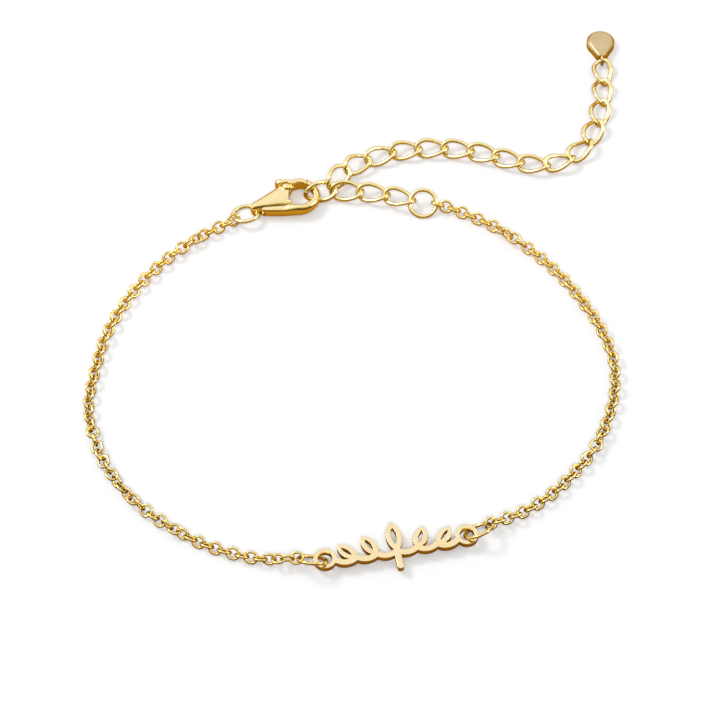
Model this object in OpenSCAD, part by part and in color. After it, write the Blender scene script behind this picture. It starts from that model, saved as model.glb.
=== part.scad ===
// Nameplate bracelet, fastened and laid out as a loop on a table.
// The plate lies at the front, the clasp and the extension chain at the back.
// Millimetres, +Z up, table at z = 0, origin under the middle of the whole layout.

/* [Nameplate] */
// Distance between the centres of the two end rings
plate_span = 14.86; // [14.4:0.02:15.2]
// Thickness of the sheet that the plate is cut from
plate_thick = 0.66; // [0.5:0.02:0.7]
// Width of the strokes of the openwork
stroke = 0.66; // [0.5:0.02:0.72]
// Outside diameter of the end rings
end_eye_d = 2.38; // [2.2:0.02:2.4]
// Hole in the end rings
end_eye_hole = 1.5; // [1.46:0.02:1.54]
// Height of the tall middle leaf above the foot of the plate
leaf_top = 4.2; // [3.6:0.1:4.6]
// Depth of the stem below the foot of the plate
stem_drop = 1.5; // [1.2:0.1:1.7]

/* [Chain] */
// Outside length of a chain link
link_len = 1.54; // [1.53:0.01:1.58]
// Outside width of a chain link
link_wid = 1.38; // [1.3:0.01:1.42]
// Wire of the chain links
link_wire = 0.24; // [0.2:0.01:0.24]

/* [Rings] */
// Outside diameter of the two jump rings on the plate
plate_ring_d = 3.2; // [3.1:0.05:3.25]
// Outside diameter of the jump ring on the clasp
clasp_ring_d = 3.2; // [3.1:0.05:3.25]
// Outside diameter of the end ring that joins chain and extension
end_ring_d = 3.3; // [3.25:0.05:3.35]
// Wire of the two rings on the plate
plate_ring_wire = 0.32; // [0.26:0.02:0.32]
// Wire of the clasp ring and the end ring
ring_wire = 0.36; // [0.3:0.02:0.36]

/* [Extension] */
// Outside length of an extension link
ext_len = 3.7; // [3.67:0.01:3.72]
// Outside width of an extension link
ext_wid = 2.3; // [2.2:0.02:2.4]
// Wire of the extension links
ext_wire = 0.32; // [0.28:0.01:0.32]
// Twist of a link from its middle to either end, in degrees
ext_twist = 38; // [32:1:42]
// Width of the drop at the end of the extension
drop_wid = 3.12; // [2.8:0.04:3.4]
// Thickness of the drop
drop_thick = 1.0; // [0.8:0.05:1.1]

/* [Clasp] */
// Full thickness of the clasp body
clasp_thick = 1.9; // [1.7:0.05:1.9]
// Hinge pin
pin_d = 0.5; // [0.4:0.02:0.5]
// Running clearance of the lever on its pin, on the radius
pin_gap = 0.03; // [0.02:0.01:0.05]

/* [Hidden] */
$fn = 32;
gold = "gold";

// Middle of the whole layout, seen from the middle of the chain loop
layout_mid = [-0.2, 9.3];

// Radii to the middle of the wire
plate_ring_r = (plate_ring_d - plate_ring_wire) / 2;
clasp_ring_r = (clasp_ring_d - ring_wire) / 2;
end_ring_r = (end_ring_d - ring_wire) / 2;
link_half_l = (link_len - link_wire) / 2;
link_half_w = (link_wid - link_wire) / 2;
ext_half_l = (ext_len - ext_wire) / 2;
ext_half_w = (ext_wid - ext_wire) / 2;

// Free play between neighbouring links of each chain
link_play = 0.1;
ext_play = 0.08;

// Heights at which the wires clear the table
plate_z = 0.58;
chain_z = link_half_w * sin(45) + link_wire / 2 + 0.025;

// Place of the plate: middle, and turn in plan
plate_at = [3.71, -23.64];
plate_turn = 11.2;
slit_side = 0.5;

// Rings: x, y, turn of the axis that the chain pulls along, and roll about it.
// A positive roll lifts the side that lies to the left of that axis.
ring_left_at = [-4.90, -25.25];
ring_left_turn = -6.7;
ring_left_roll = -43.7;
ring_right_at = [12.18, -21.70];
ring_right_turn = 33.6;
ring_right_roll = -41.1;
clasp_ring_at = [-12.50, 19.32];
clasp_ring_turn = 202;
clasp_ring_roll = 18;
end_ring_at = [6.90, 20.56];
end_ring_turn = 0;
end_ring_roll = 28;

// Routes of the two chains on the table, from the middle of their first link to
// that of their last: x, y, z. Chosen by eye from the way the bracelet lies.
left_route = [
    [-13.80, 18.45, 0.66], [-17.25, 16.30, chain_z], [-21.05, 13.15, chain_z],
    [-24.60, 8.65, chain_z], [-27.05, 3.50, chain_z], [-28.25, -2.00, chain_z],
    [-28.65, -5.80, chain_z], [-28.20, -8.80, chain_z], [-26.85, -12.80, chain_z],
    [-24.30, -16.75, chain_z], [-20.95, -19.95, chain_z], [-16.85, -22.60, chain_z],
    [-13.25, -24.05, chain_z], [-9.80, -24.87, 0.64], [-6.48, -25.07, 1.16]];
right_route = [
    [13.50, -20.82, 1.11], [17.00, -19.02, 0.575], [20.10, -16.70, chain_z],
    [22.70, -13.80, chain_z], [24.80, -10.80, chain_z], [26.45, -6.40, chain_z],
    [27.05, -2.55, chain_z], [26.80, 0.85, chain_z], [25.60, 4.50, chain_z],
    [23.85, 7.80, chain_z], [21.75, 10.95, chain_z], [19.20, 13.85, chain_z],
    [16.30, 16.35, chain_z], [13.90, 18.10, chain_z], [10.50, 19.85, 0.60],
    [8.52, 20.48, 0.86]];

// Links after which the chain has turned over by a quarter
left_twists = [5.5, 35.5, 40.5, 45.5, 50.5, 63.5];
right_twists = [16.5, 48.5];

// Extension, from the end ring to the hook and back out of it: x, y, z, turn,
// rise of the nose and roll of each link
placed_links = [
    [4.32, 21.33, 0.95, -16.4, 0, -0.6],
    [1.46, 22.04, 0.80, -9, 0, 6],
    [-1.46, 22.26, 0.88, -0.4, -1.9, 21.3],
    [-4.33, 22.07, 0.98, 12.8, 0, 46],
    [-2.43, 23.96, 1.23, 51.4, -2, 38],
    [-0.31, 25.99, 0.96, 38.7, -9.4, 16.2],
    [2.24, 27.35, 0.66, 21, 0, 7]];
// Route of the middles of the other links, to the drop
tail_route = [
    [5.05, 28.08, 0.66], [7.92, 28.36, 0.66],
    [10.79, 28.20, 0.66], [13.65, 27.64, 0.66], [16.38, 26.80, 0.66], [19.18, 26.14, 0.66],
    [21.90, 26.45, 0.66], [24.20, 27.98, 0.66], [25.72, 30.30, 0.68], [26.65, 33.00, 0.70],
    [27.10, 36.00, 0.73], [27.25, 39.12, 0.73]];
tail_links = 12;
// Roll of the tail links about their length, by link
tail_rolls = [[0, 6], [3, 8], [5, 0], [6, -8], [7, -6], [8, 10], [10, 18]];
drop_at = [27.22, 43.50];
drop_turn = 91;

// Clasp: its corner on the table and its own axes u (along) and v (across)
clasp_at = [-12.10, 19.04];
clasp_mid_z = clasp_thick / 2;
hook_at = [5.48, 2.36];
hook_r = 1.77;
hook_bar = 0.97;
hook_tall = 1.86;
lever_r = 1.74;
lever_wide = 0.88;
lever_inner_r = 1.38;
lever_tall = 1.5;
pivot_at = [4.00, 3.25];
cheek_r = 0.58;
cheek_tall = 1.7;
hub_d = 1.1;
hub_tall = 0.56;
slot_tall = 0.68;
seam_r = 2.42;
seam_gap = 0.08;
nub_at = [3.22, 4.03];
nub_d = 0.96;
lever_reach = 1.05;
tail_at = [0.93, 0.84, 0.86];
tail_turn = 20.5;
tail_tall = 1.68;
tail_thick = 1.0;
bore_d = 0.98;
bore_z = 0.64;

function ext_name(i) = str("extension_link_", i < 10 ? "0" : "", i);

// A smooth curve through a list of points
function smooth_at(a, b, c, d, t) =
    0.5 * (2 * b + (c - a) * t + (2 * a - 5 * b + 4 * c - d) * t * t
    + (3 * b - a - 3 * c + d) * t * t * t);
function smooth(p, steps = 8) = let (last = len(p) - 1) concat(
    [for (i = [0:last - 1], k = [0:steps - 1])
        smooth_at(p[max(i - 1, 0)], p[i], p[i + 1], p[min(i + 2, last)], k / steps)],
    [p[last]]);

// The same curve with the distance run at each point: distance, x, y, z
function run(c) = [for (i = 0, s = 0; i < len(c);
    s = s + (i + 1 < len(c) ? norm(c[i + 1] - c[i]) : 0), i = i + 1)
    [s, c[i].x, c[i].y, c[i].z]];
function run_length(r) = r[len(r) - 1][0];
function column(r, k) = [for (p = r) [p[0], p[k]]];
function point_on(r, s) = [lookup(s, column(r, 1)), lookup(s, column(r, 2)), lookup(s, column(r, 3))];

// Roll of link i of a cable chain: links cross at right angles, and each twist
// turns the rest of the chain by a quarter over five links
function eased(i, at) = max(0, min(1, (i - at) / 5 + 0.5));
function twist_sum(i, twists, k = 0) = k >= len(twists) ? 0
    : (k % 2 == 0 ? -90 : 90) * eased(i, twists[k]) + twist_sum(i, twists, k + 1);
function link_roll(i, first, twists) = (i % 2 == 0 ? first : -first) + twist_sum(i, twists);
// Lift of a link that stands nearly upright, so that it clears the table
function link_lift(i, twists, k = 0) = k >= len(twists) ? 0
    : 0.17 * exp(-pow((i - twists[k]) / 1.75, 2)) + link_lift(i, twists, k + 1);

// Moves a piece from the loop's own plan to the shared origin
module on_table() {
    translate([-layout_mid.x, -layout_mid.y, 0]) children();
}

// Points a piece that lies along +X down a direction, and rolls it
module aimed(at, along, roll) {
    yaw = atan2(along.y, along.x);
    pitch = -atan2(along.z, norm([along.x, along.y]));
    translate(at) rotate([0, 0, yaw]) rotate([0, pitch, 0]) rotate([roll, 0, 0]) children();
}

module wire_ring(radius, wire) {
    rotate_extrude() translate([radius, 0]) circle(d = wire);
}

// A ring that lies on the table with one side lifted by its roll
module lying_ring(at, turn, roll, radius, wire) {
    lift = radius * abs(sin(roll)) + wire / 2;
    translate([at.x, at.y, lift]) rotate([0, 0, turn]) rotate([roll, 0, 0]) wire_ring(radius, wire);
}

// One cable link: two half rings and two short straights
module cable_link() {
    straight = link_half_l - link_half_w;
    for (side = [-1, 1]) {
        translate([side * straight, 0, 0]) rotate([0, 0, -side * 90])
            rotate_extrude(angle = 180) translate([link_half_w, 0]) circle(d = link_wire);
        translate([0, side * link_half_w, 0]) rotate([0, 90, 0])
            cylinder(d = link_wire, h = 2 * straight, center = true);
    }
}

module cable_chain(route, first_roll, twists) {
    r = run(smooth(route));
    full = run_length(r);
    steps = ceil(full / (link_len - 2 * link_wire - link_play));
    for (i = [0:steps]) {
        s = full * i / steps;
        at = point_on(r, s) + [0, 0, link_lift(i, twists)];
        along = point_on(r, min(s + 0.5, full)) - point_on(r, max(s - 0.5, 0));
        aimed(at, along, link_roll(i, first_roll, twists)) cable_link();
    }
}

// One extension link: a blunt oval of round wire, twisted about its length
module curb_link(around = 16, sides = 6) {
    blunt = 2 / 2.25;
    mid = [for (i = [0:around - 1])
        let (a = 360 * (i + 0.5) / around,
            x = ext_half_l * sign(cos(a)) * pow(abs(cos(a)), blunt),
            y = ext_half_w * sign(sin(a)) * pow(abs(sin(a)), blunt),
            t = -ext_twist * x / ext_half_l)
        [x, y * cos(t), y * sin(t), t]];
    points = [for (i = [0:around - 1])
        let (here = mid[i],
            ahead = mid[(i + 1) % around],
            behind = mid[(i + around - 1) % around],
            go = [ahead.x - behind.x, ahead.y - behind.y, ahead.z - behind.z],
            face = [0, -sin(here[3]), cos(here[3])],
            out = cross(go, face) / norm(cross(go, face)),
            up = cross(out, go) / norm(go))
        for (k = [0:sides - 1])
            let (b = 360 * k / sides)
            [here.x, here.y, here.z] + ext_wire / 2 * (cos(b) * out + sin(b) * up)];
    faces = [for (i = [0:around - 1], k = [0:sides - 1], half = [0, 1])
        let (n = (i + 1) % around, m = (k + 1) % sides)
        half == 0 ? [i * sides + k, i * sides + m, n * sides + m]
        : [i * sides + k, n * sides + m, n * sides + k]];
    polyhedron(points, faces);
}

module placed_link(row) {
    translate([row.x, row.y, row.z]) rotate([0, 0, row[3]]) rotate([0, -row[4], 0])
        rotate([row[5], 0, 0]) curb_link();
}

module tail_link(i) {
    r = run(smooth(tail_route));
    full = run_length(r);
    s = full * i / (tail_links - 1);
    along = point_on(r, min(s + 1.2, full)) - point_on(r, max(s - 1.2, 0));
    aimed(point_on(r, s), along, lookup(i, tail_rolls)) curb_link();
}

// Extension links by number, from the end ring to the drop
module extension_link(i) {
    color(gold) on_table() {
        if (i <= 7) placed_link(placed_links[i - 1]);
        else tail_link(i - 8);
    }
}

// Nameplate outline: openwork leaves on a garland between two end rings
module band_arc(radius, from, to, wide) {
    reach = radius + wide;
    intersection() {
        difference() {
            circle(r = radius + wide / 2);
            circle(r = radius - wide / 2);
        }
        polygon([[0, 0], [reach * 2 * cos(from), reach * 2 * sin(from)],
            [reach * 4 * cos((from + to) / 2), reach * 4 * sin((from + to) / 2)],
            [reach * 2 * cos(to), reach * 2 * sin(to)]]);
    }
}

module lens(radius, half_gap) {
    intersection() {
        translate([-half_gap, 0]) circle(r = radius);
        translate([half_gap, 0]) circle(r = radius);
    }
}

// Pointed leaf that stands on its tip at the origin, with a slit along its middle
function lens_r(long, wide) = (long * long + wide * wide) / (4 * wide);
module lens_shape(long, wide) {
    lens(lens_r(long, wide), lens_r(long, wide) - wide / 2);
}
module leaf(long, wide) {
    translate([0, long / 2]) difference() {
        lens_shape(long, wide);
        translate([0, 0.1]) lens_shape(long * 0.55, wide - 2 * slit_side);
    }
}

module plate_outline() {
    foot = -end_eye_d / 2;
    scallop = 2.1;
    sag = 0.42;
    arc_r = (scallop * scallop / 4 + sag * sag) / (2 * sag);
    half = asin(scallop / 2 / arc_r);
    root = foot + stroke / 2 + sag;
    for (i = [-2.5:1:2.5]) translate([i * scallop, foot + stroke / 2 + arc_r])
        band_arc(arc_r, -90 - half - 1, -90 + half + 1, stroke);
    for (i = [-3:3]) translate([i * scallop, root]) circle(d = stroke);
    translate([0, root - 0.2]) leaf(leaf_top + foot - root + 0.2, 1.6);
    for (side = [-1, 1]) {
        translate([side * scallop, root - 0.2]) rotate(-side * 24) leaf(2.75, 1.45);
        translate([side * scallop * 2, root - 0.2]) rotate(-side * 42) leaf(2.6, 1.35);
        translate([side * plate_span / 2, 0]) circle(d = end_eye_d);
    }
    translate([-stroke / 2, foot - stem_drop + stroke / 2])
        square([stroke, stem_drop + root - foot]);
    translate([0, foot - stem_drop + stroke / 2]) circle(d = stroke);
}

module nameplate() {
    color(gold) on_table() translate([plate_at.x, plate_at.y, plate_z])
        rotate([0, 0, plate_turn]) linear_extrude(height = plate_thick) difference() {
            plate_outline();
            for (side = [-1, 1]) translate([side * plate_span / 2, 0]) circle(d = end_eye_hole);
        }
}

module plate_ring_left() {
    color(gold) on_table()
        lying_ring(ring_left_at, ring_left_turn, ring_left_roll, plate_ring_r, plate_ring_wire);
}

module plate_ring_right() {
    color(gold) on_table()
        lying_ring(ring_right_at, ring_right_turn, ring_right_roll, plate_ring_r, plate_ring_wire);
}

module clasp_ring() {
    color(gold) on_table()
        lying_ring(clasp_ring_at, clasp_ring_turn, clasp_ring_roll, clasp_ring_r, ring_wire);
}

module end_ring() {
    color(gold) on_table()
        lying_ring(end_ring_at, end_ring_turn, end_ring_roll, end_ring_r, ring_wire);
}

module chain_left() {
    color(gold) on_table() cable_chain(left_route, -45, left_twists);
}

module chain_right() {
    color(gold) on_table() cable_chain(right_route, 45, right_twists);
}

// Stadium section with round sides, centred on the origin
module rounded_bar(wide, tall) {
    square([wide, tall - wide], center = true);
    for (end = [-1, 1]) translate([0, end * (tall - wide) / 2]) circle(d = wide);
}

// Arc of a bar round the middle of the hook
module hook_arc(radius, from, to) {
    translate([hook_at.x, hook_at.y, clasp_mid_z]) rotate([0, 0, from])
        rotate_extrude(angle = to - from) translate([radius, 0]) children();
}

module on_clasp() {
    on_table() translate([clasp_at.x, clasp_at.y, 0]) children();
}

// Blunt tail with a cross bore for the jump ring
module clasp_tail() {
    translate([tail_at.x, tail_at.y, 0]) rotate([0, 0, tail_turn])
        translate([0, tail_thick / 2, tail_at.z]) rotate([90, 0, 0])
            linear_extrude(height = tail_thick) intersection() {
                circle(r = 0.98);
                square([1.62, tail_tall], center = true);
            }
}
module clasp_bore() {
    translate([tail_at.x, tail_at.y, 0]) rotate([0, 0, tail_turn])
        translate([0.01, 2, bore_z]) rotate([90, 0, 0]) cylinder(d = bore_d, h = 4);
}

// Flattened cone that widens from the tail to the shoulder of the clasp
module clasp_housing() {
    slope = 0.35;
    reach = 5;
    difference() {
        intersection() {
            translate([tail_at.x, tail_at.y, clasp_mid_z]) rotate([0, 0, tail_turn - 0.8])
                rotate([0, 90, 0]) cylinder(r1 = 0.72, r2 = 0.72 + slope * reach, h = reach);
            cube([4.3, 3.95, clasp_thick]);
        }
        translate([nub_at.x, nub_at.y, -1]) cylinder(d = nub_d + 0.12, h = 4);
    }
}

// Outline of the hook from the side: thinner towards its free end
module hook_side() {
    translate([0, 6, clasp_mid_z]) rotate([90, 0, 0]) linear_extrude(height = 7)
        polygon([[0, -0.95], [3.6, -0.95], [5.6, -0.70], [7.9, -0.44],
            [7.9, 0.46], [5.6, 0.74], [3.6, 0.95], [0, 0.95]]);
}
module clasp_hook() {
    rail_start = 1.6;
    intersection() {
        hook_side();
        union() {
            hook_arc(hook_r, -90, -28) rounded_bar(hook_bar, hook_tall);
            translate([rail_start, hook_at.y - hook_r, clasp_mid_z]) {
                rotate([90, 0, 90]) linear_extrude(height = hook_at.x - rail_start)
                    rounded_bar(hook_bar, hook_tall);
                cylinder(d = hook_bar, h = hook_tall - hook_bar * 0.6, center = true);
            }
            difference() {
                hook_arc(hook_r, -30, 80) rounded_bar(hook_bar, hook_tall);
                translate([pivot_at.x, pivot_at.y, -1])
                    cylinder(r = seam_r + seam_gap / 2, h = 5, $fn = 64);
                translate([hook_at.x + 0.14, hook_at.y + 0.14, -1]) cylinder(r = 1.38, h = 5);
            }
        }
    }
}

// A slice of a cylinder round the hinge pin, between two directions
module pivot_sector(inner, outer, tall, from, to) {
    translate([pivot_at.x, pivot_at.y, clasp_mid_z]) rotate([0, 0, from])
        rotate_extrude(angle = to - from) translate([inner, -tall / 2]) square([outer - inner, tall]);
}

module clasp_body() {
    color(gold) on_clasp() difference() {
        union() {
            difference() {
                union() {
                    difference() {
                        clasp_housing();
                        translate([pivot_at.x, pivot_at.y, -1])
                            cylinder(r = lever_reach + 0.07, h = 4);
                    }
                    intersection() {
                        clasp_housing();
                        pivot_sector(0.1, lever_reach + 0.3, cheek_tall, 166, 308);
                    }
                    translate([pivot_at.x, pivot_at.y, clasp_mid_z])
                        cylinder(r = cheek_r, h = cheek_tall, center = true);
                }
                translate([pivot_at.x, pivot_at.y, clasp_mid_z])
                    cylinder(r = lever_reach + 0.1, h = slot_tall, center = true);
            }
            translate([pivot_at.x, pivot_at.y, clasp_mid_z])
                cylinder(d = pin_d, h = slot_tall + 0.5, center = true);
            clasp_hook();
            clasp_tail();
        }
        clasp_bore();
    }
}

module lever_arm() {
    difference() {
        union() {
            intersection() {
                hook_side();
                hook_arc(lever_r, 50, 141) rounded_bar(lever_wide, lever_tall);
            }
            pivot_sector(0.5, lever_reach, lever_tall - 0.04, 42, 138);
            translate([nub_at.x, nub_at.y, clasp_mid_z]) cylinder(d = nub_d, h = 1.3, center = true);
        }
        translate([hook_at.x + 0.07, hook_at.y + 0.10, -1]) cylinder(r = lever_inner_r, h = 5);
        translate([pivot_at.x, pivot_at.y, -1]) {
            cylinder(r = cheek_r + 0.06, h = 5);
            difference() {
                cylinder(r = 4, h = 5);
                translate([0, 0, -1]) cylinder(r = seam_r - seam_gap / 2, h = 7, $fn = 64);
            }
        }
    }
}

module clasp_lever() {
    color(gold) on_clasp() {
        lever_arm();
        difference() {
            union() {
                translate([pivot_at.x, pivot_at.y, clasp_mid_z])
                    cylinder(d = hub_d, h = hub_tall, center = true);
                pivot_sector(0.38, 0.86, hub_tall - 0.06, 14, 146);
            }
            translate([pivot_at.x, pivot_at.y, 0]) cylinder(d = pin_d + 2 * pin_gap, h = 3);
        }
    }
}

// Flat teardrop with a bevelled face, and the upright eye at its narrow end
module drop_outline(inset) {
    round_r = drop_wid / 2;
    tip = 2.2;
    neck = 0.5;
    lean = 49;
    circle(r = round_r - inset);
    polygon([[(round_r - inset) * cos(lean), (round_r - inset) * sin(lean)],
        [tip, neck - inset * 0.7], [tip, -neck + inset * 0.7],
        [(round_r - inset) * cos(lean), -(round_r - inset) * sin(lean)]]);
}

module drop() {
    eye_mid = 2.63;
    color(gold) on_table() translate([drop_at.x, drop_at.y, 0]) rotate([0, 0, drop_turn + 180]) {
        linear_extrude(height = drop_thick * 0.7) drop_outline(0);
        hull() {
            translate([0, 0, drop_thick * 0.6]) linear_extrude(height = 0.1) drop_outline(0);
            linear_extrude(height = drop_thick) drop_outline(0.3);
        }
        translate([eye_mid, 0, 0.66]) rotate([90, 0, 0]) wire_ring(0.48, 0.34);
    }
}

nameplate();
plate_ring_left();
plate_ring_right();
chain_left();
chain_right();
clasp_ring();
clasp_body();
clasp_lever();
end_ring();
drop();
for (i = [1:19]) extension_link(i);
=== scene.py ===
import bpy
import bmesh
import math
import numpy as np
from mathutils import Euler, Matrix, Vector


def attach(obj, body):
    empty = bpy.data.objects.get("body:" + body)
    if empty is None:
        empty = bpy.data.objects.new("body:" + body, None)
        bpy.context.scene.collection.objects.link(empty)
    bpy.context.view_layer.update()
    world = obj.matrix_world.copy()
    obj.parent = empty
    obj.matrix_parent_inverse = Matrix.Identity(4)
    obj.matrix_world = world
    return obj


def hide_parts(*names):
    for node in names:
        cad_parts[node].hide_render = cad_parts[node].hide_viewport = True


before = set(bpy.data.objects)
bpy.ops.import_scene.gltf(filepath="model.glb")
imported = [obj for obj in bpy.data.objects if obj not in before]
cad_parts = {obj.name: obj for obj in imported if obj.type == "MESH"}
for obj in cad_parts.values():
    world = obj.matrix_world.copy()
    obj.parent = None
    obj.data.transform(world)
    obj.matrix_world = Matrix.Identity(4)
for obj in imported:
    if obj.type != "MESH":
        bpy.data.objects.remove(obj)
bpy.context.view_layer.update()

MM = 0.001
scene = bpy.context.scene

# Sizes in millimetres and turns in degrees, the same as those of the solids. Half lengths and
# half widths of links run to the middle of the wire.
MID = (-0.2, 9.3)
LINK_HALF_L = 0.65
LINK_HALF_W = 0.57
LINK_WIRE = 0.24
LINK_PLAY = 0.1
EXT_HALF_L = 1.69
EXT_HALF_W = 0.99
EXT_TWIST = 38.0
CHAIN_Z = LINK_HALF_W * math.sin(math.radians(45)) + LINK_WIRE / 2 + 0.025

# The wires are drawn slightly fuller than those of the solids: the diameter of a link's wire, the
# two half widths of an extension link's wire, and what is added to the two half widths of a ring's
LINK_ROUND = 0.275
EXT_FLAT = (0.23, 0.18)
RING_FULLER = (0.03, 0.01)

LEFT_ROUTE = [
    (-13.80, 18.45, 0.66), (-17.25, 16.30, CHAIN_Z), (-21.05, 13.15, CHAIN_Z),
    (-24.60, 8.65, CHAIN_Z), (-27.05, 3.50, CHAIN_Z), (-28.25, -2.00, CHAIN_Z),
    (-28.65, -5.80, CHAIN_Z), (-28.20, -8.80, CHAIN_Z), (-26.85, -12.80, CHAIN_Z),
    (-24.30, -16.75, CHAIN_Z), (-20.95, -19.95, CHAIN_Z), (-16.85, -22.60, CHAIN_Z),
    (-13.25, -24.05, CHAIN_Z), (-9.80, -24.87, 0.64), (-6.48, -25.07, 1.16)]
RIGHT_ROUTE = [
    (13.50, -20.82, 1.11), (17.00, -19.02, 0.575), (20.10, -16.70, CHAIN_Z),
    (22.70, -13.80, CHAIN_Z), (24.80, -10.80, CHAIN_Z), (26.45, -6.40, CHAIN_Z),
    (27.05, -2.55, CHAIN_Z), (26.80, 0.85, CHAIN_Z), (25.60, 4.50, CHAIN_Z),
    (23.85, 7.80, CHAIN_Z), (21.75, 10.95, CHAIN_Z), (19.20, 13.85, CHAIN_Z),
    (16.30, 16.35, CHAIN_Z), (13.90, 18.10, CHAIN_Z), (10.50, 19.85, 0.60),
    (8.52, 20.48, 0.86)]

# The links at which a chain turns over, the number of links that a turn takes, and how high and
# how far along it lifts the chain
LEFT_TWISTS = [5.5, 35.5, 40.5, 45.5, 50.5, 63.5]
RIGHT_TWISTS = [16.5, 48.5]
TWIST_LINKS = 5
TWIST_LIFT = 0.17
TWIST_SPREAD = 1.75

# Extension links beside the hook: x, y, z, turn, rise and roll of each
PLACED = [
    (4.32, 21.33, 0.95, -16.4, 0, -0.6),
    (1.46, 22.04, 0.80, -9, 0, 6),
    (-1.46, 22.26, 0.88, -0.4, -1.9, 21.3),
    (-4.33, 22.07, 0.98, 12.8, 0, 46),
    (-2.43, 23.96, 1.23, 51.4, -2, 38),
    (-0.31, 25.99, 0.96, 38.7, -9.4, 16.2),
    (2.24, 27.35, 0.66, 21, 0, 7)]

# The rest of the extension: its route, its number of links, and (link, roll) pairs
TAIL_ROUTE = [
    (5.05, 28.08, 0.66), (7.92, 28.36, 0.66), (10.79, 28.20, 0.66), (13.65, 27.64, 0.66),
    (16.38, 26.80, 0.66), (19.18, 26.14, 0.66), (21.90, 26.45, 0.66), (24.20, 27.98, 0.66),
    (25.72, 30.30, 0.68), (26.65, 33.00, 0.70), (27.10, 36.00, 0.73), (27.25, 39.12, 0.73)]
TAIL_LINKS = 12
TAIL_ROLLS = [(0, 6), (3, 8), (5, 0), (6, -8), (7, -6), (8, 10), (10, 18)]


def turned(axis, degrees):
    return Matrix.Rotation(math.radians(degrees), 4, axis)


def moved(x, y, z):
    return Matrix.Translation((x, y, z))


# From the loop's own plan, in millimetres, to the shared frame, in metres
TO_FRAME = Matrix.Scale(MM, 4) @ moved(-MID[0], -MID[1], 0)


# Camera: the photograph's angle and distance, aimed just above the origin of the plan
RISE = math.radians(55.6)
AWAY = 388.416
AIM_Z = 0.52
aim = Vector((-MID[0], -MID[1], AIM_Z)) * MM
cam_data = bpy.data.cameras.new("camera")
cam_data.sensor_width = 36
cam_data.lens = 182.4745
cam_data.clip_start = 0.01
cam_data.clip_end = 20
camera = bpy.data.objects.new("camera", cam_data)
camera.location = aim + Vector((0, -AWAY * math.cos(RISE), AWAY * math.sin(RISE))) * MM
camera.rotation_euler = Euler((math.pi / 2 - RISE, 0, 0))
scene.collection.objects.link(camera)
scene.camera = camera


# Routes
def smooth(points, steps=8):
    """A smooth curve through the points, with a number of steps between each two."""
    p = [np.array(q, float) for q in points]
    last = len(p) - 1
    out = []
    for i in range(last):
        a, b, c, d = p[max(i - 1, 0)], p[i], p[i + 1], p[min(i + 2, last)]
        for k in range(steps):
            t = k / steps
            out.append(0.5 * (2 * b + (c - a) * t + (2 * a - 5 * b + 4 * c - d) * t * t
                              + (3 * b - a - 3 * c + d) * t ** 3))
    out.append(p[last])
    return np.array(out)


class Route:
    """A smooth curve that is read by the distance along it."""

    def __init__(self, points):
        self.p = smooth(points)
        gaps = np.linalg.norm(np.diff(self.p, axis=0), axis=1)
        self.s = np.concatenate([[0], np.cumsum(gaps)])
        self.full = self.s[-1]

    def at(self, s):
        return np.array([np.interp(s, self.s, self.p[:, k]) for k in range(3)])

    def along(self, s, reach):
        return self.at(min(s + reach, self.full)) - self.at(max(s - reach, 0))


def aimed(at, along, roll):
    yaw = math.degrees(math.atan2(along[1], along[0]))
    pitch = -math.degrees(math.atan2(along[2], math.hypot(along[0], along[1])))
    return moved(*at) @ turned("Z", yaw) @ turned("Y", pitch) @ turned("X", roll)


def eased(i, at):
    return max(0.0, min(1.0, (i - at) / TWIST_LINKS + 0.5))


def link_roll(i, first, twists):
    roll = first if i % 2 == 0 else -first
    return roll + sum((-90 if k % 2 == 0 else 90) * eased(i, t) for k, t in enumerate(twists))


def link_lift(i, twists):
    return sum(TWIST_LIFT * math.exp(-((i - t) / TWIST_SPREAD) ** 2) for t in twists)


# Meshes
def closed_tube(path, outs, ups, wide, tall, sides):
    """Points and faces of a closed tube along a ring of points, from its two half widths."""
    n = len(path)
    points = []
    for i in range(n):
        for k in range(sides):
            b = 2 * math.pi * k / sides
            points.append(path[i] + wide * math.cos(b) * outs[i] + tall * math.sin(b) * ups[i])
    faces = []
    for i in range(n):
        for k in range(sides):
            m, j = (k + 1) % sides, (i + 1) % n
            faces.append((i * sides + k, j * sides + k, j * sides + m, i * sides + m))
    return np.array(points), faces


def ring_shape(radius, wire, around=72, sides=20):
    """A flat ring of round wire."""
    a = 2 * np.pi * np.arange(around) / around
    outs = np.stack([np.cos(a), np.sin(a), 0 * a], axis=1)
    ups = np.tile([0.0, 0.0, 1.0], (around, 1))
    wide, tall = (wire / 2 + fuller for fuller in RING_FULLER)
    return closed_tube(outs * radius, outs, ups, wide, tall, sides)


def link_shape(around=36, sides=12):
    """A small oval link with two round ends and two short straights."""
    straight = LINK_HALF_L - LINK_HALF_W
    a = 2 * np.pi * (np.arange(around) + 0.5) / around
    outs = np.stack([np.cos(a), np.sin(a), 0 * a], axis=1)
    path = outs * LINK_HALF_W
    path[:, 0] += np.sign(np.cos(a)) * straight
    ups = np.tile([0.0, 0.0, 1.0], (around, 1))
    return closed_tube(path, outs, ups, LINK_ROUND / 2, LINK_ROUND / 2, sides)


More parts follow.
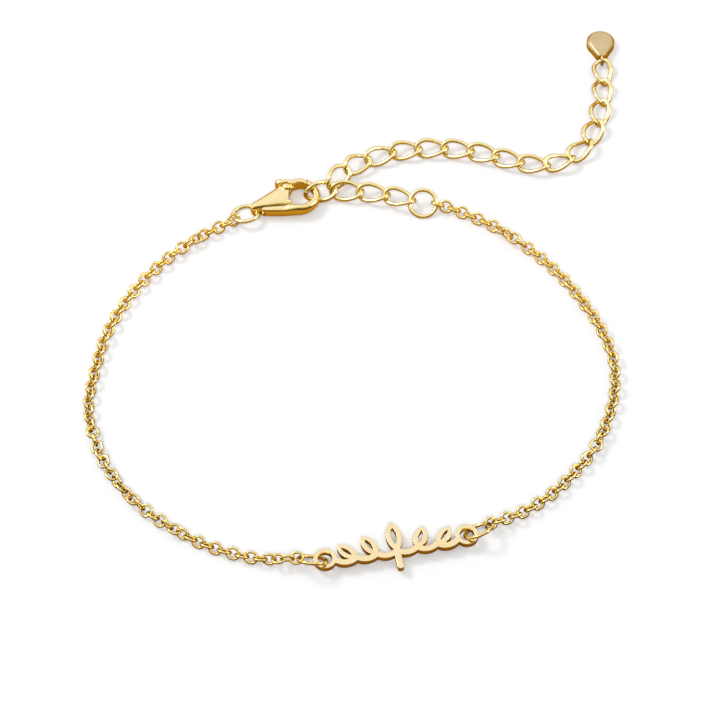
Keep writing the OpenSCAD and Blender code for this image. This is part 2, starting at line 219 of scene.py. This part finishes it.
def curb_shape(around=72, sides=16):
    """A blunt oval of slightly flattened wire, twisted about its length."""
    blunt = 2 / 2.25
    a = 2 * np.pi * (np.arange(around) + 0.5) / around
    x = EXT_HALF_L * np.sign(np.cos(a)) * np.abs(np.cos(a)) ** blunt
    y = EXT_HALF_W * np.sign(np.sin(a)) * np.abs(np.sin(a)) ** blunt
    t = np.radians(-EXT_TWIST * x / EXT_HALF_L)
    path = np.stack([x, y * np.cos(t), y * np.sin(t)], axis=1)
    go = np.roll(path, -1, axis=0) - np.roll(path, 1, axis=0)
    go /= np.linalg.norm(go, axis=1)[:, None]
    face = np.stack([0 * t, -np.sin(t), np.cos(t)], axis=1)
    outs = np.cross(go, face)
    outs /= np.linalg.norm(outs, axis=1)[:, None]
    return closed_tube(path, outs, np.cross(outs, go), *EXT_FLAT, sides)


def dress(obj, node, material, body="bracelet"):
    """Gives a piece its material, and puts it on a body in the place of a CAD node."""
    obj.data.materials.clear()
    obj.data.materials.append(material)
    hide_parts(node)
    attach(obj, body)
    return obj


def make_piece(name, node, parts, material, body="bracelet"):
    """One smooth mesh from (points, faces, placing) parts, in the place of a CAD node."""
    verts, faces, base = [], [], 0
    for points, quads, placing in parts:
        place = np.array(TO_FRAME @ placing)
        verts.append(points @ place[:3, :3].T + place[:3, 3])
        faces += [tuple(base + v for v in f) for f in quads]
        base += len(points)
    mesh = bpy.data.meshes.new(name)
    mesh.from_pydata(np.concatenate(verts).tolist(), [], faces)
    mesh.update()
    mesh.shade_smooth()
    obj = bpy.data.objects.new(name, mesh)
    scene.collection.objects.link(obj)
    return dress(obj, node, material, body)


def merged(mesh, reach):
    """Joins points closer than reach and takes out the faces that this leaves without area."""
    bm = bmesh.new()
    bm.from_mesh(mesh)
    bmesh.ops.remove_doubles(bm, verts=bm.verts, dist=reach)
    bmesh.ops.dissolve_degenerate(bm, edges=bm.edges, dist=reach)
    bm.to_mesh(mesh)
    bm.free()


def worked_copy(node, name, modifiers, same_point=0.0005, sliver=0.002):
    """A copy of a CAD node's mesh, worked in millimetres and put back in metres."""
    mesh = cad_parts[node].data.copy()
    mesh.name = name
    mesh.transform(Matrix.Scale(1 / MM, 4))
    merged(mesh, same_point)
    obj = bpy.data.objects.new(name, mesh)
    scene.collection.objects.link(obj)
    for kind, values in modifiers:
        step = obj.modifiers.new(kind.lower(), kind)
        for key, value in values.items():
            setattr(step, key, value)
    graph = bpy.context.evaluated_depsgraph_get()
    done = bpy.data.meshes.new_from_object(obj.evaluated_get(graph))
    obj.modifiers.clear()
    obj.data = done
    bpy.data.meshes.remove(mesh)
    done.name = name
    merged(done, sliver)
    done.transform(Matrix.Scale(MM, 4))
    return obj


# Materials
def add(tree, kind, inputs=None, **settings):
    """A node with its settings and the values of its inputs."""
    node = tree.nodes.new(kind)
    for key, value in settings.items():
        setattr(node, key, value)
    for key, value in (inputs or {}).items():
        node.inputs[key].default_value = value
    return node


def add_ramp(tree, stops):
    """A colour ramp from two or more (position, colour) stops, in rising order."""
    node = add(tree, "ShaderNodeValToRGB")
    elements = node.color_ramp.elements
    for k in (0, -1):
        elements[k].position = stops[k][0]
        elements[k].color = (*stops[k][1], 1)
    for position, colour in stops[1:-1]:
        elements.new(position).color = (*colour, 1)
    return node


def gold(name, pale, deep, rough, wave):
    """Polished gold plating: two close tones, uneven polish, fine rubbed lines and a soft wave."""
    material = bpy.data.materials.new(name)
    material.use_nodes = True
    tree = material.node_tree
    link = tree.links.new
    shader = tree.nodes["Principled BSDF"]
    shader.inputs["Metallic"].default_value = 1.0
    where = add(tree, "ShaderNodeTexCoord")

    tone = add(tree, "ShaderNodeTexNoise", {"Scale": 420, "Detail": 3})
    tones = add_ramp(tree, [(0.35, deep), (0.65, pale)])
    link(where.outputs["Object"], tone.inputs["Vector"])
    link(tone.outputs["Fac"], tones.inputs["Fac"])
    link(tones.outputs["Color"], shader.inputs["Base Color"])

    stretch = add(tree, "ShaderNodeMapping", {"Scale": (1.0, 6.0, 2.5)})
    rub = add(tree, "ShaderNodeTexNoise", {"Scale": 2600, "Detail": 4})
    polish = add(tree, "ShaderNodeMapRange", {"From Min": 0.3, "From Max": 0.75,
                                              "To Min": rough[0], "To Max": rough[1]})
    link(where.outputs["Object"], stretch.inputs["Vector"])
    link(stretch.outputs["Vector"], rub.inputs["Vector"])
    link(rub.outputs["Fac"], polish.inputs["Value"])
    link(polish.outputs["Result"], shader.inputs["Roughness"])

    swell = add(tree, "ShaderNodeTexNoise", {"Scale": 1100, "Detail": 1})
    bump = add(tree, "ShaderNodeBump", {"Strength": wave, "Distance": 0.00008})
    link(where.outputs["Object"], swell.inputs["Vector"])
    link(swell.outputs["Fac"], bump.inputs["Height"])
    link(bump.outputs["Normal"], shader.inputs["Normal"])
    return material


wire_gold = gold("wire_gold", (0.98, 0.83, 0.33), (0.95, 0.745, 0.23), (0.08, 0.18), 0.10)
pale_gold = gold("pale_gold", (0.99, 0.91, 0.50), (0.97, 0.84, 0.38), (0.10, 0.22), 0.08)
clasp_gold = gold("clasp_gold", (0.99, 0.87, 0.46), (0.97, 0.81, 0.37), (0.12, 0.22), 0.04)
plate_gold = gold("plate_gold", (0.97, 0.84, 0.46), (0.94, 0.78, 0.39), (0.16, 0.26), 0.03)
drop_gold = gold("drop_gold", (0.72, 0.58, 0.31), (0.64, 0.50, 0.23), (0.16, 0.28), 0.05)


# Chains
def chain(node, points, first, twists):
    """Links along a route, each turned against the one before it; first is the first one's roll."""
    route = Route(points)
    pitch = 2 * (LINK_HALF_L + LINK_WIRE / 2) - 2 * LINK_WIRE - LINK_PLAY
    steps = math.ceil(route.full / pitch)
    shape = link_shape()
    parts = []
    for i in range(steps + 1):
        s = route.full * i / steps
        at = route.at(s)
        at[2] += link_lift(i, twists)
        placing = aimed(at, route.along(s, reach=0.5), link_roll(i, first, twists))
        parts.append((*shape, placing))
    make_piece(node + "_links", node, parts, wire_gold)


chain("chain_left", LEFT_ROUTE, -45, LEFT_TWISTS)
chain("chain_right", RIGHT_ROUTE, 45, RIGHT_TWISTS)


# Rings
def lying_ring(node, at, turn, roll, radius, wire, material):
    lift = radius * abs(math.sin(math.radians(roll))) + wire / 2
    placing = moved(at[0], at[1], lift) @ turned("Z", turn) @ turned("X", roll)
    make_piece(node + "_wire", node, [(*ring_shape(radius, wire), placing)], material)


lying_ring("plate_ring_left", (-4.90, -25.25), -6.7, -43.7, 1.44, 0.32, wire_gold)
lying_ring("plate_ring_right", (12.18, -21.70), 33.6, -41.1, 1.44, 0.32, wire_gold)
lying_ring("clasp_ring", (-12.50, 19.32), 202, 18, 1.42, 0.36, pale_gold)
lying_ring("end_ring", (6.90, 20.56), 0, 28, 1.47, 0.36, pale_gold)


# Extension links: first the placed ones, then those along the tail
def extension_link(number, placing):
    node = f"extension_link_{number:02d}"
    make_piece(node + "_wire", node, [(*curb_shape(), placing)], pale_gold)


for i, (x, y, z, turn, rise, roll) in enumerate(PLACED):
    placing = moved(x, y, z) @ turned("Z", turn) @ turned("Y", -rise) @ turned("X", roll)
    extension_link(i + 1, placing)

tail = Route(TAIL_ROUTE)
for i in range(TAIL_LINKS):
    s = tail.full * i / (TAIL_LINKS - 1)
    roll = float(np.interp(i, *zip(*TAIL_ROLLS)))
    extension_link(len(PLACED) + i + 1, aimed(tail.at(s), tail.along(s, reach=1.2), roll))


# Plate and drop: the solids, with the edges that polishing has rounded
PLATE_EDGE = ("BEVEL", {"width": 0.045, "segments": 2, "limit_method": "ANGLE",
                        "angle_limit": math.radians(50), "use_clamp_overlap": False,
                        "harden_normals": True})
DROP_SKIN = ("REMESH", {"mode": "VOXEL", "voxel_size": 0.036, "use_smooth_shade": True})
DROP_POLISH = ("SMOOTH", {"factor": 0.5, "iterations": 8})

dress(worked_copy("nameplate", "nameplate_polished", [PLATE_EDGE]),
      "nameplate", plate_gold)
dress(worked_copy("drop", "drop_polished", [DROP_SKIN, DROP_POLISH]), "drop", drop_gold)


# Clasp: cast forms blended into one another. A form is a function that is negative inside it;
# u runs along the clasp, v across it and z up, in millimetres.
CLASP_AT = (-12.10, 19.04)
# Height of the middle plane over the table
CLASP_Z = 0.95
# The middle of the eye, and the directions in which the eye and the cone point
TAIL = (0.93, 0.84, 0.86)
TAIL_TURN = 20.5
CONE_TURN = 19.7
# The hinge, the thumb nub, a point of the cone's slanted mouth, and the bead beside it
PIVOT = (4.00, 3.25)
PIN_R = 0.25
PIN_HOLE_R = 0.28
NUB = (3.22, 4.03)
MOUTH = (4.28, 1.09)
BEAD = (4.30, 1.28, 0.52)
# The middle of the hook's bend, and the radius and half width of hook and lever round it
HOOK = (5.48, 2.36)
HOOK_R = 1.77
HOOK_HALF = 0.485
LEVER_R = 1.75
LEVER_HALF = 0.44
# How far from the hinge the lever ends and the hook's tip begins
LEVER_REACH = 2.375
TIP_REACH = 2.46
# The grid on which the forms are meshed, and a value that cuts nothing
CELL = 0.045
UNCUT = -9.0


def both(a, b, k=0.0):
    """Where both forms are, with the edge between them rounded over a width k."""
    return -joined(-a, -b, k)


def joined(a, b, k=0.0):
    """Where either form is, with the corner between them filled over a width k."""
    if not k:
        return np.minimum(a, b)
    h = np.maximum(k - np.abs(a - b), 0) / k
    return np.minimum(a, b) - h * h * k / 4


def plump(a, b, power):
    """A rounded section: below one inside, from two coordinates measured in half widths."""
    return (np.abs(a) ** power + np.abs(b) ** power) ** (1 / power)


def round_of(p, at):
    return np.hypot(p[..., 0] - at[0], p[..., 1] - at[1])


def disc(hub, z, radius, half):
    return both(hub - radius, np.abs(z) - half)


def along_across(p, at, degrees):
    """Distances from a point, along a direction and across it."""
    turn = math.radians(degrees)
    x, y = p[..., 0] - at[0], p[..., 1] - at[1]
    return x * math.cos(turn) + y * math.sin(turn), y * math.cos(turn) - x * math.sin(turn)


def sector(p, at, start, end):
    """Negative between two directions round a point (less than half a turn apart)."""
    x, y = p[..., 0] - at[0], p[..., 1] - at[1]
    a, b = math.radians(start), math.radians(end)
    return np.maximum(x * math.sin(a) - y * math.cos(a), y * math.cos(b) - x * math.sin(b))


def hook_halves(u):
    """Half heights of hook and lever, above and below the middle plane."""
    top = np.interp(u, [3.6, 5.6, 7.9], [0.95, 0.74, 0.46])
    low = np.interp(u, [3.6, 5.6, 7.9], [0.92, 0.70, 0.44])
    return top, low


def cone_form(p):
    """The flattened cone that widens from the eye to the hinge."""
    z = p[..., 2] - CLASP_Z
    t, y = along_across(p, TAIL, CONE_TURN)
    t = np.clip(t, -0.3, 5)
    far = 0.70 + 0.35 * t
    near = 0.46 + 0.26 * t
    high = np.interp(t, [-0.3, 0.6, 2.2, 5], [0.70, 0.80, 0.95, 0.95])
    return (plump(y / np.where(y > 0, far, near), z / high, 2.3) - 1) * 0.85


def hook_form(p):
    """The rail along the near side and the hook that it bends into, up to its tip."""
    u, v, z = p[..., 0], p[..., 1], p[..., 2] - CLASP_Z
    bent = (u > HOOK[0]) | (v > HOOK[1])
    out = np.where(bent, round_of(p, HOOK) - HOOK_R, v - HOOK[1] + HOOK_R)
    out = np.where(u < 1.65, np.hypot(out, np.minimum(u - 1.65, 0)), out)
    top, low = hook_halves(u)
    top = np.interp(u, [3.9, 5.3], [0.52, 1.0]) * top
    power = np.interp(u, [3.5, 5.5], [2.4, 2.0])
    form = (plump(out / HOOK_HALF, z / np.where(z > 0, top, low), power) - 1) * 0.48
    inside = 1.38 - np.hypot(u - HOOK[0] - 0.14, v - HOOK[1] - 0.14)
    tip = both(TIP_REACH - round_of(p, PIVOT), inside)
    return both(form, np.where(bent & (v > 1.6), tip, UNCUT), 0.08)


def body_form(p):
    """Cone, cheeks, hinge pin, hook, bead and pierced eye, clear of the lever's way."""
    u, v, z = p[..., 0], p[..., 1], p[..., 2] - CLASP_Z
    hub = round_of(p, PIVOT)
    cone = both(cone_form(p), 0.40 - u, 0.1)
    mouth = 0.878 * (u - MOUTH[0]) + 0.479 * (v - MOUTH[1])
    lever_room = np.where(sector(p, PIVOT, 166, 308) < 0, UNCUT, 1.12 - hub)
    cheek = both(both(cone, np.abs(z) - 0.64, 0.10), u - 4.30, 0.12)
    form = both(joined(both(cone, mouth, 0.12), cheek, 0.04), lever_room, 0.05)

    boss = (plump(hub / 0.55, z / 0.92, 2.6) - 1) * 0.55
    form = joined(form, boss, 0.04)
    form = both(form, 0.55 - round_of(p, NUB), 0.06)
    form = both(form, -disc(hub, z, 1.15, 0.34))
    form = joined(form, disc(hub, z, PIN_R, 0.5))
    form = joined(form, hook_form(p), 0.05)
    bead = np.sqrt((u - BEAD[0]) ** 2 + (v - BEAD[1]) ** 2 + (z - BEAD[2]) ** 2) - 0.27
    form = joined(form, bead, 0.10)

    x, y = along_across(p, TAIL, TAIL_TURN)
    w = p[..., 2] - TAIL[2]
    eye = (plump(plump(x / 0.82, w / 0.84, 2.6), y / 0.52, 2.6) - 1) * 0.55
    bore = 0.49 - np.hypot(x - 0.01, p[..., 2] - 0.64)
    form = both(joined(form, eye, 0.26), bore, 0.10)
    return both(form, -p[..., 2] + 0.002, 0.04)


def lever_form(p):
    """The gate that closes the hook, its thumb nub, and the two leaves that hold the pin."""
    u, v, z = p[..., 0], p[..., 1], p[..., 2] - CLASP_Z
    hub = round_of(p, PIVOT)
    top, low = hook_halves(u)
    half = np.minimum(np.where(z > 0, top, low), 0.76)
    arm = (plump((round_of(p, HOOK) - LEVER_R) / LEVER_HALF, z / half, 2.3) - 1) * LEVER_HALF
    arm = both(arm, sector(p, HOOK, 20, 141), 0.06)
    ear = both(both(hub - 1.05, 0.5 - hub), np.abs(z) - 0.72, 0.25)
    ear = both(ear, sector(p, PIVOT, 42, 138), 0.1)
    nub = (plump(round_of(p, NUB) / 0.48, z / 0.68, 2.4) - 1) * 0.48
    form = joined(joined(arm, ear, 0.10), nub, 0.12)

    inside = 1.385 - np.hypot(u - HOOK[0] - 0.07, v - HOOK[1] - 0.10)
    form = both(form, inside, 0.05)
    form = both(form, 0.645 - hub, 0.05)
    form = both(form, hub - LEVER_REACH, 0.08)
    web = both(both(hub - 0.86, sector(p, PIVOT, 14, 146)), np.abs(z) - 0.25)
    knuckle = joined(disc(hub, z, 0.55, 0.28), web)
    return joined(form, both(knuckle, PIN_HOLE_R - hub))


def skin(form, low, high, step):
    """A mesh of the surface of a form: a point in each cell it crosses, drawn onto it."""
    axes = [np.arange(a, b + step, step) for a, b in zip(low, high)]
    inside = form(np.stack(np.meshgrid(*axes, indexing="ij"), axis=-1)) < 0
    n = np.array(inside.shape) - 1
    corners = [inside[i:n[0] + i, j:n[1] + j, k:n[2] + k]
               for i in (0, 1) for j in (0, 1) for k in (0, 1)]
    count = sum(c.astype(int) for c in corners)
    mixed = (count > 0) & (count < 8)
    index = np.full(n, -1)
    index[mixed] = np.arange(mixed.sum())

    passes, probe, least_slope, stray = 5, 0.004, 0.05, 0.75 * step
    start = np.array(low) + (np.argwhere(mixed) + 0.5) * step
    points = start.copy()
    for _ in range(passes):
        slope = np.stack([form(points + e) - form(points - e) for e in probe * np.eye(3)], axis=-1)
        slope /= 2 * probe
        size = np.maximum((slope ** 2).sum(axis=-1), least_slope)
        points -= (form(points) / size)[:, None] * slope
        points = start + np.clip(points - start, -stray, stray)

    faces = []
    for a in range(3):
        b, c = np.eye(3, dtype=int)[(a + 1) % 3], np.eye(3, dtype=int)[(a + 2) % 3]
        first = np.take(inside, range(0, n[a]), axis=a)
        second = np.take(inside, range(1, n[a] + 1), axis=a)
        at = np.argwhere(first != second)
        out = first[tuple(at.T)]
        quad = np.stack([index[tuple(q.T)] for q in (at - b - c, at - c, at, at - b)], axis=1)
        quad[~out] = quad[~out][:, ::-1]
        faces += quad.tolist()
    return points, faces


def clasp_piece(node, form, low, high, body):
    surface = (*skin(form, low, high, CELL), moved(*CLASP_AT, 0))
    piece = make_piece(node + "_cast", node, [surface], clasp_gold, body)
    merged(piece.data, 0.003 * MM)


clasp_piece("clasp_body", body_form, (-0.3, -0.3, -0.2), (8.0, 4.6, 2.2), "bracelet")
clasp_piece("clasp_lever", lever_form, (2.4, 2.2, -0.1), (7.8, 5.0, 2.1), "lever")


# Floor and world
def split_by_ray(tree, plain, mirrored, output):
    """Shows one shader in the metal's reflections and another to everything else."""
    path = add(tree, "ShaderNodeLightPath")
    mix = add(tree, "ShaderNodeMixShader")
    tree.links.new(path.outputs["Is Glossy Ray"], mix.inputs["Fac"])
    tree.links.new(plain.outputs[0], mix.inputs[1])
    tree.links.new(mirrored.outputs[0], mix.inputs[2])
    tree.links.new(mix.outputs["Shader"], tree.nodes[output].inputs["Surface"])


# Floor: white paper to the camera and to diffuse light. In the metal's reflections it shows a
# painted reflection instead: a warm, dark floor, darker towards the front, that stands in for the
# shade mirrored in the gold
FLOOR_HALF = 3.0
# Colours of the painted reflection that the metal sees in the floor, from the front of the floor to
# the back
PAINTED_FLOOR_REFLECTION = [(0.0, (0.27, 0.12, 0.010)), (0.15, (0.13, 0.045, 0.004)),
              (0.45, (0.16, 0.06, 0.006)), (0.75, (0.42, 0.21, 0.018)),
              (1.0, (0.49, 0.25, 0.022))]

floor_mesh = bpy.data.meshes.new("floor")
corners = [(x * FLOOR_HALF, y * FLOOR_HALF, 0) for x, y in ((-1, -1), (1, -1), (1, 1), (-1, 1))]
floor_mesh.from_pydata(corners, [], [(0, 1, 2, 3)])
floor = bpy.data.objects.new("floor", floor_mesh)
scene.collection.objects.link(floor)

paper = bpy.data.materials.new("paper")
paper.use_nodes = True
tree = paper.node_tree
tree.nodes.remove(tree.nodes["Principled BSDF"])
white = add(tree, "ShaderNodeBsdfDiffuse", {"Color": (0.90, 0.90, 0.90, 1)})
# Painted reflection: a warm, dark diffuse that only the metal's reflections see, darker towards the
# front
painted_reflection = add(tree, "ShaderNodeBsdfDiffuse")
where = add(tree, "ShaderNodeTexCoord")
apart = add(tree, "ShaderNodeSeparateXYZ")
back = add(tree, "ShaderNodeMapRange", {"From Min": -0.034, "From Max": 0.006})
painted_reflection_ramp = add_ramp(tree, PAINTED_FLOOR_REFLECTION)
tree.links.new(where.outputs["Object"], apart.inputs["Vector"])
tree.links.new(apart.outputs["Y"], back.inputs["Value"])
tree.links.new(back.outputs["Result"], painted_reflection_ramp.inputs["Fac"])
tree.links.new(painted_reflection_ramp.outputs["Color"], painted_reflection.inputs["Color"])
split_by_ray(tree, white, painted_reflection, "Material Output")
floor_mesh.materials.append(paper)

# World: an even white tent lights the paper, and the metal mirrors a bright cool sheet behind it
# that falls off to a warm dim room
SHEET = Vector((-0.20, 0.62, 0.76)).normalized()
ROOM = [(0.0, (0.07, 0.042, 0.016)), (0.24, (0.15, 0.09, 0.03)), (0.38, (0.50, 0.42, 0.24)),
        (0.56, (0.70, 0.66, 0.54)), (0.84, (0.71, 0.68, 0.72)), (1.0, (0.73, 0.70, 0.80))]

world = bpy.data.worlds.new("studio")
world.use_nodes = True
scene.world = world
tree = world.node_tree
tree.nodes.remove(tree.nodes["Background"])
where = add(tree, "ShaderNodeTexCoord")
toward = add(tree, "ShaderNodeVectorMath", {1: SHEET}, operation="DOT_PRODUCT")
span = add(tree, "ShaderNodeMapRange", {"From Min": -0.4, "From Max": 1.0})
room = add_ramp(tree, ROOM)
mirrored = add(tree, "ShaderNodeBackground", {"Strength": 1.37})
tent = add(tree, "ShaderNodeBackground", {"Color": (0.97, 0.99, 1.02, 1), "Strength": 0.57})
tree.links.new(where.outputs["Generated"], toward.inputs[0])
tree.links.new(toward.outputs["Value"], span.inputs["Value"])
tree.links.new(span.outputs["Result"], room.inputs["Fac"])
tree.links.new(room.outputs["Color"], mirrored.inputs["Color"])
split_by_ray(tree, tent, mirrored, "World Output")


# Lights
def light(name, kind, power):
    lamp = bpy.data.lights.new(name, kind)
    lamp.energy = power
    obj = bpy.data.objects.new(name, lamp)
    scene.collection.objects.link(obj)
    return obj


def softbox(name, at, size, power, colour=(1, 1, 1)):
    obj = light(name, "AREA", power)
    obj.data.shape = "RECTANGLE"
    obj.data.size, obj.data.size_y = size
    obj.data.color = colour
    obj.location = at
    obj.rotation_euler = (aim - Vector(at)).to_track_quat("-Z", "Y").to_euler()
    return obj


softbox("key", (-0.40, 0.22, 0.50), (0.24, 0.18), 1.4)
side = softbox("side", (0.50, 0.02, 0.30), (0.20, 0.16), 0.8, (1, 0.88, 0.78))
side.visible_diffuse = False

# A broad frontal fill that opens the shadows on the paper and isn't mirrored by the metal
fill = light("fill", "SUN", 1.4)
fill.data.angle = math.radians(25)
fill.rotation_euler = Euler((math.pi / 2 - RISE, 0, 0))
fill.visible_glossy = False

scene.view_settings.view_transform = "Standard"
